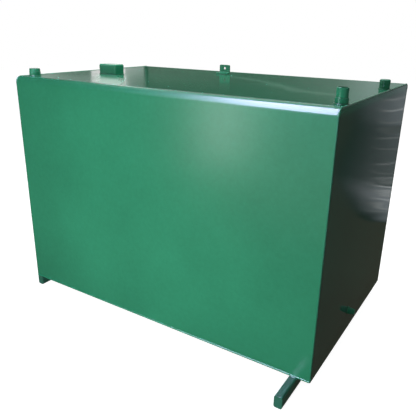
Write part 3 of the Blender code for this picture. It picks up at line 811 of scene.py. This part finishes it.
def makeWeldTree(spec):
    labels = [("Bead radius", "Float"), ("Ripple pitch", "Float"), ("Ripple depth", "Float"),
              ("Wander", "Float"), ("Seed", "Float"), ("Paint", "Material")]
    graph, (paths, radius, pitch, depth, wander, seed, paint) = startTree("weldBead", labels, "Paths")
    curve = graph.add("GeometryNodeMeshToCurve", None, {"Mesh": paths})
    curve = graph.add("GeometryNodeResampleCurve", {"mode": "LENGTH"}, {
        "Curve": curve, "Length": pitch / spec["stepsPerRipple"]})
    length = graph.add("GeometryNodeSplineParameter", None, None, "Length")
    place = graph.add("GeometryNodeInputPosition")
    shifted = graph.add("ShaderNodeVectorMath", {"operation": "ADD"}, {0: place, 1: seed})
    slow = graph.noise(shifted, spec["wanderScale"], 2.0, 0.6) - 0.5
    step = (length / pitch).calculate("FRACT", length / pitch)
    swell = 1 - (step - spec["crest"]).size() * spec["steep"]
    ring = graph.add("GeometryNodeCurvePrimitiveCircle", None, {
        "Resolution": spec["sides"], "Radius": radius})
    bead = graph.add("GeometryNodeCurveToMesh", None, {
        "Curve": curve, "Profile Curve": ring, "Scale": 1 + depth * swell + wander * slow * 2,
        "Fill Caps": True})
    return endTree(graph, bead, paint)


def runTree(name, mesh, tree, values):  # values in the order of the tree's named inputs
    maker = linkObject(name + "Maker", mesh)
    modifier = maker.modifiers.new("nodes", "NODES")
    modifier.node_group = tree
    wanted = [item for item in tree.interface.items_tree
              if item.in_out == "INPUT" and item.socket_type != "NodeSocketGeometry"]
    for item, value in zip(wanted, values):
        modifier[item.identifier] = value
    evaluated = maker.evaluated_get(bpy.context.evaluated_depsgraph_get())
    made = bpy.data.meshes.new_from_object(evaluated)
    made.name = name
    bpy.data.objects.remove(maker, do_unlink=True)
    return linkObject(name, made)


def addPiece(piece):
    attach(piece, body)


def pathMesh(name, paths):
    verts = []
    edges = []
    for points, closed in paths:
        first = len(verts)
        verts += points
        edges += [(i, i + 1) for i in range(first, len(verts) - 1)]
        if closed:
            edges.append((len(verts) - 1, first))
    return newMesh(name, verts, edges, [])


weldTree = makeWeldTree(beadSpec)
for name, spec in weldSpecs.items():
    values = [spec["radius"], spec["pitch"], spec["ripple"], spec["wander"], float(spec["seed"]),
              paints[spec["paint"]]]
    piece = runTree(name, pathMesh(name + "Paths", spec["paths"](spec)), weldTree, values)
    addPiece(piece)
    print(name, len(piece.data.polygons), "faces")


# Weld spatter, scattered on strips just above the foot welds, and the nipple's thread

spatterSpecs = {
    # the specks take the fittings' lighter green, painted highlight
    "footSpatter": {"density": 1500.0, "seed": 4, "smallest": 0.0003, "largest": 0.0021,
                    "margin": 0.02, "above": (0.008, 0.026), "paint": "fittingPaintPaintedLight"},
}
threadSpec = {  # sunk is a share of the ridge
    "pitch": 0.00231, "length": 0.024, "ridge": 0.0007, "sunk": 0.4, "below": 0.002,
    "stepsPerTurn": 36, "sides": 6, "paint": "fittingPaintPaintedLight"}


def spatterStrips(spec):
    left, right = bodyLow.x + spec["margin"], bodyHigh.x - spec["margin"]
    low, high = (bodyLow.z + height for height in spec["above"])
    verts = []
    for y in (bodyLow.y, bodyHigh.y):
        verts += [(left, y, low), (right, y, low), (right, y, high), (left, y, high)]
    return newMesh("footStrips", verts, [], [(0, 1, 2, 3), (4, 5, 6, 7)])


def makeSpatterTree():
    labels = [("Density", "Float"), ("Seed", "Int"), ("Smallest", "Float"), ("Largest", "Float"),
              ("Paint", "Material")]
    graph, (strips, density, seed, smallest, largest, paint) = startTree("spatter", labels, "Strips")
    points = graph.add("GeometryNodeDistributePointsOnFaces", None, {
        "Mesh": strips, "Density": density, "Seed": seed})
    share = graph.add("FunctionNodeRandomValue", {"data_type": "FLOAT"}, {2: 0.0, 3: 1.0}, 1)
    radius = smallest + (largest - smallest) * share * share
    ball = graph.add("GeometryNodeMeshIcoSphere", None, {"Radius": 1.0, "Subdivisions": 2})
    balls = graph.add("GeometryNodeInstanceOnPoints", None, {
        "Points": points, "Instance": ball, "Scale": radius})
    return endTree(graph, balls, paint)


def makeThreadTree(spec):
    labels = [("Radius", "Float"), ("Turns", "Float"), ("Length", "Float"), ("Ridge", "Float"),
              ("Foot", "Vector"), ("Paint", "Material")]
    graph, (radius, turns, length, ridge, foot, paint) = startTree("thread", labels)
    spiral = graph.add("GeometryNodeCurveSpiral", None, {
        "Resolution": spec["stepsPerTurn"], "Rotations": turns, "Start Radius": radius,
        "End Radius": radius, "Height": length})
    ring = graph.add("GeometryNodeCurvePrimitiveCircle", None, {
        "Resolution": spec["sides"], "Radius": ridge})
    mesh = graph.add("GeometryNodeCurveToMesh", None, {
        "Curve": spiral, "Profile Curve": ring, "Fill Caps": True})
    mesh = graph.add("GeometryNodeTransform", None, {"Geometry": mesh, "Translation": foot})
    return endTree(graph, mesh, paint)


spatterTree = makeSpatterTree()
for name, spec in spatterSpecs.items():
    values = [spec[key] for key in ("density", "seed", "smallest", "largest")]
    piece = runTree(name, spatterStrips(spec), spatterTree, values + [paints[spec["paint"]]])
    addPiece(piece)
    print(name, len(piece.data.polygons), "faces")

nippleLow, nippleHigh = (Vector(corner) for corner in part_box("front_right_nipple"))
threadFoot = (nippleLow + nippleHigh) / 2
threadFoot.z = nippleHigh.z - threadSpec["below"] - threadSpec["length"]
threadValues = [(nippleHigh.x - nippleLow.x) / 2 - threadSpec["ridge"] * threadSpec["sunk"],
                threadSpec["length"] / threadSpec["pitch"], threadSpec["length"], threadSpec["ridge"],
                threadFoot, paints[threadSpec["paint"]]]
threadTree = makeThreadTree(threadSpec)
thread = runTree("nippleThread", newMesh("threadSeed", [], [], []), threadTree, threadValues)
addPiece(thread)
print("nippleThread", len(thread.data.polygons), "faces")
